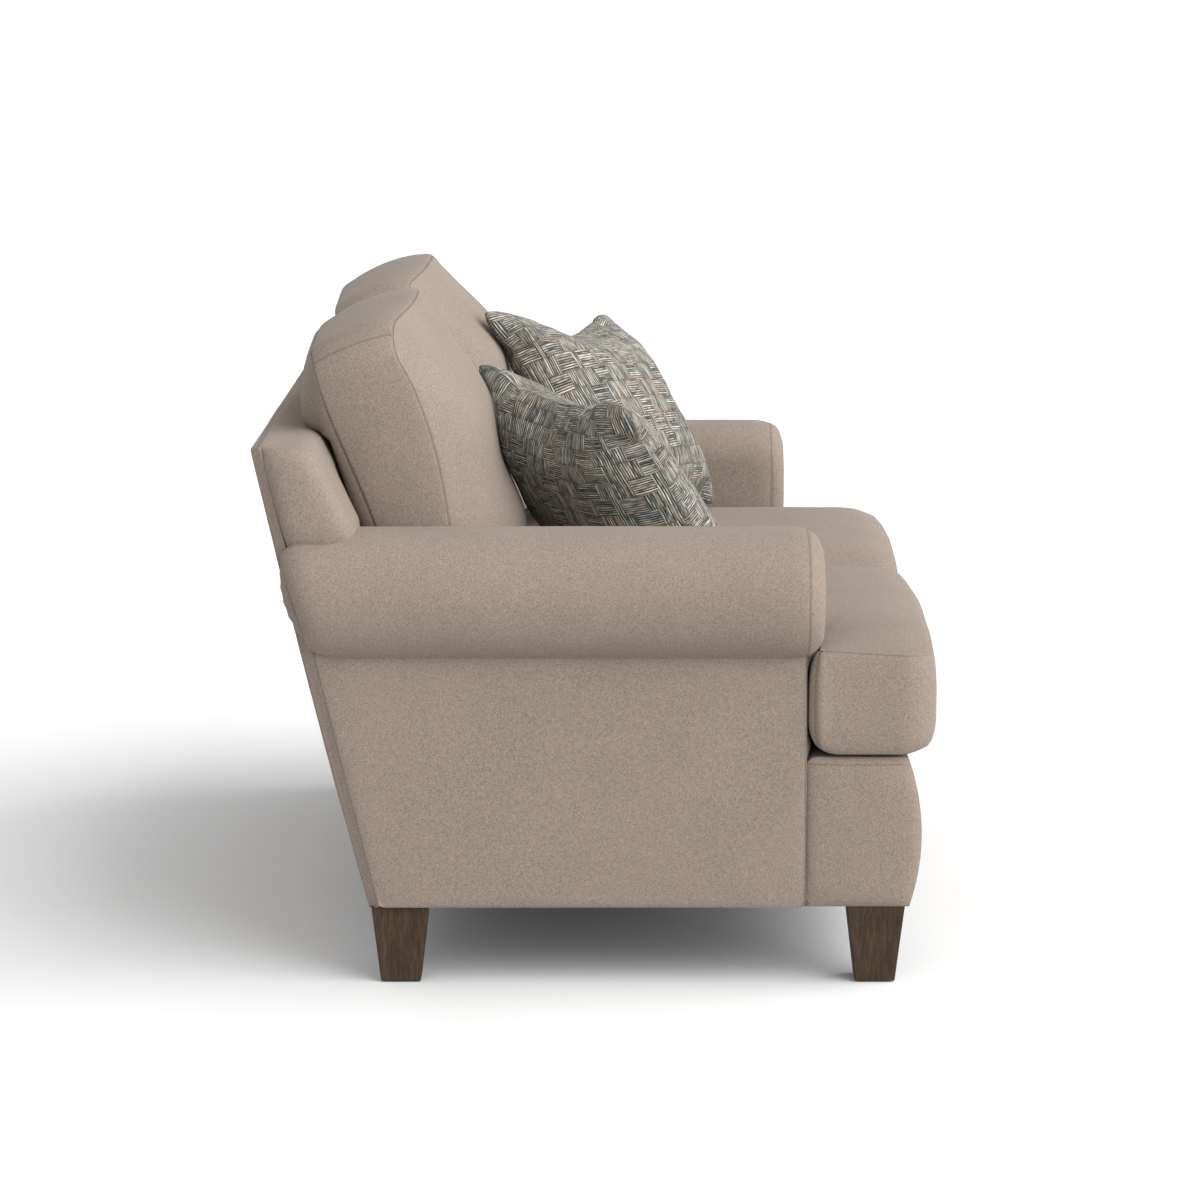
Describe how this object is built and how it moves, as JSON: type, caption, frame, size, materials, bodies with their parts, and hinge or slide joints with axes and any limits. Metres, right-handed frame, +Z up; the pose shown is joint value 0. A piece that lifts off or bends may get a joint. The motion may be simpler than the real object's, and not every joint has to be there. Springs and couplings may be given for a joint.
{
  "type": "loveseat",
  "caption": "Loveseat with rolled arms, T-shaped seat cushions, loose crowned back cushions, leaning throw pillows and tapered wooden legs on a sprung timber frame.",
  "frame": {"origin": "on the floor under the middle of the loveseat's bounding box", "axes": "+Z up, -Y the way the seat faces, +X to the right of a person who faces the front"},
  "size_m": [1.63, 0.987, 0.974],
  "materials": {
    "upholstery_fabric": "heathered taupe plain-weave upholstery cloth, matte",
    "pillow_fabric": "coarse basket-weave tweed in slate, charcoal, cream and rust",
    "leg_wood": "dark brown stained hardwood, satin",
    "frame_wood": "bare sawn hardwood",
    "filling": "foam and fibre filling",
    "deck_cloth": "plain deck cloth",
    "dust_cloth": "black spun-bonded dust cloth",
    "webbing": "woven jute webbing",
    "spring_steel": "drawn spring wire",
    "hardware_steel": "zinc-plated steel",
    "glide_plastic": "black nylon",
    "zip_tape": "woven zip tape with nylon coil",
    "zip_metal": "dark enamelled zip slider"
  },
  "bodies": {
    "frame": {"leg_front_left": "leg_wood", "leg_front_right": "leg_wood", "leg_rear_left": "leg_wood", "leg_rear_right": "leg_wood", "leg_glides": "glide_plastic", "leg_hanger_bolts": "hardware_steel", "leg_plates": "hardware_steel", "front_seat_rail": "frame_wood", "rear_seat_rail": "frame_wood", "center_seat_rail": "frame_wood", "end_rail_left": "frame_wood", "end_rail_right": "frame_wood", "corner_blocks": "frame_wood", "frame_screws": "hardware_steel", "arm_roll_left": "upholstery_fabric", "arm_roll_right": "upholstery_fabric", "arm_front_left": "upholstery_fabric", "arm_front_right": "upholstery_fabric", "arm_outside_panel_left": "upholstery_fabric", "arm_outside_panel_right": "upholstery_fabric", "arm_front_board_left": "frame_wood", "arm_front_board_right": "frame_wood", "arm_rear_board_left": "frame_wood", "arm_rear_board_right": "frame_wood", "arm_top_boards": "frame_wood", "arm_stretchers": "frame_wood", "arm_roll_rails": "frame_wood", "back_post_left": "frame_wood", "back_post_right": "frame_wood", "back_top_rail": "frame_wood", "back_lower_rail": "frame_wood", "back_center_post": "frame_wood", "back_webbing_upright": "webbing", "back_webbing_cross": "webbing", "inside_back_pad": "upholstery_fabric", "back_cover": "upholstery_fabric", "outside_back_panel": "upholstery_fabric", "front_border": "upholstery_fabric", "dust_cover": "dust_cloth", "seat_springs": "spring_steel", "seat_spring_clips": "hardware_steel", "seat_tie_wires": "spring_steel", "seat_insulator_pad": "filling", "seat_deck_cloth": "deck_cloth"},
    "seat_cushion_left": {"seat_cushion_cover_left": "upholstery_fabric", "seat_cushion_foam_left": "filling", "seat_zip_chain_left": "zip_tape"},
    "seat_cushion_right": {"seat_cushion_cover_right": "upholstery_fabric", "seat_cushion_foam_right": "filling", "seat_zip_chain_right": "zip_tape"},
    "zip_slider_left": {"seat_zip_slider_left": "zip_metal"},
    "zip_slider_right": {"seat_zip_slider_right": "zip_metal"},
    "back_cushion_left": {"back_cushion_cover_left": "upholstery_fabric", "back_cushion_fill_left": "filling"},
    "back_cushion_right": {"back_cushion_cover_right": "upholstery_fabric", "back_cushion_fill_right": "filling"},
    "throw_pillow_left": {"throw_pillow_cover_left": "pillow_fabric", "throw_pillow_insert_left": "filling"},
    "throw_pillow_right": {"throw_pillow_cover_right": "pillow_fabric", "throw_pillow_insert_right": "filling"}
  },
  "joints": [
    {"name": "seat_cushion_left_slide", "type": "slide", "parent": "frame", "child": "seat_cushion_left", "axis": [0, -1, 0], "range_m": [0, 0.76]},
    {"name": "seat_cushion_right_slide", "type": "slide", "parent": "frame", "child": "seat_cushion_right", "axis": [0, -1, 0], "range_m": [0, 0.76]},
    {"name": "zip_slider_left_slide", "type": "slide", "parent": "seat_cushion_left", "child": "zip_slider_left", "axis": [-1, 0, 0], "range_m": [0, 0.44]},
    {"name": "zip_slider_right_slide", "type": "slide", "parent": "seat_cushion_right", "child": "zip_slider_right", "axis": [1, 0, 0], "range_m": [0, 0.44]},
    {"name": "back_cushion_left_lift", "type": "slide", "parent": "frame", "child": "back_cushion_left", "axis": [0, 0.3113, 0.9503], "range_m": [0, 0.35]},
    {"name": "back_cushion_right_lift", "type": "slide", "parent": "frame", "child": "back_cushion_right", "axis": [0, 0.3113, 0.9503], "range_m": [0, 0.35]},
    {"name": "throw_pillow_left_lift", "type": "slide", "parent": "frame", "child": "throw_pillow_left", "axis": [0, 0, 1], "range_m": [0, 0.5]},
    {"name": "throw_pillow_right_lift", "type": "slide", "parent": "frame", "child": "throw_pillow_right", "axis": [0, 0, 1], "range_m": [0, 0.5]}
  ]
}
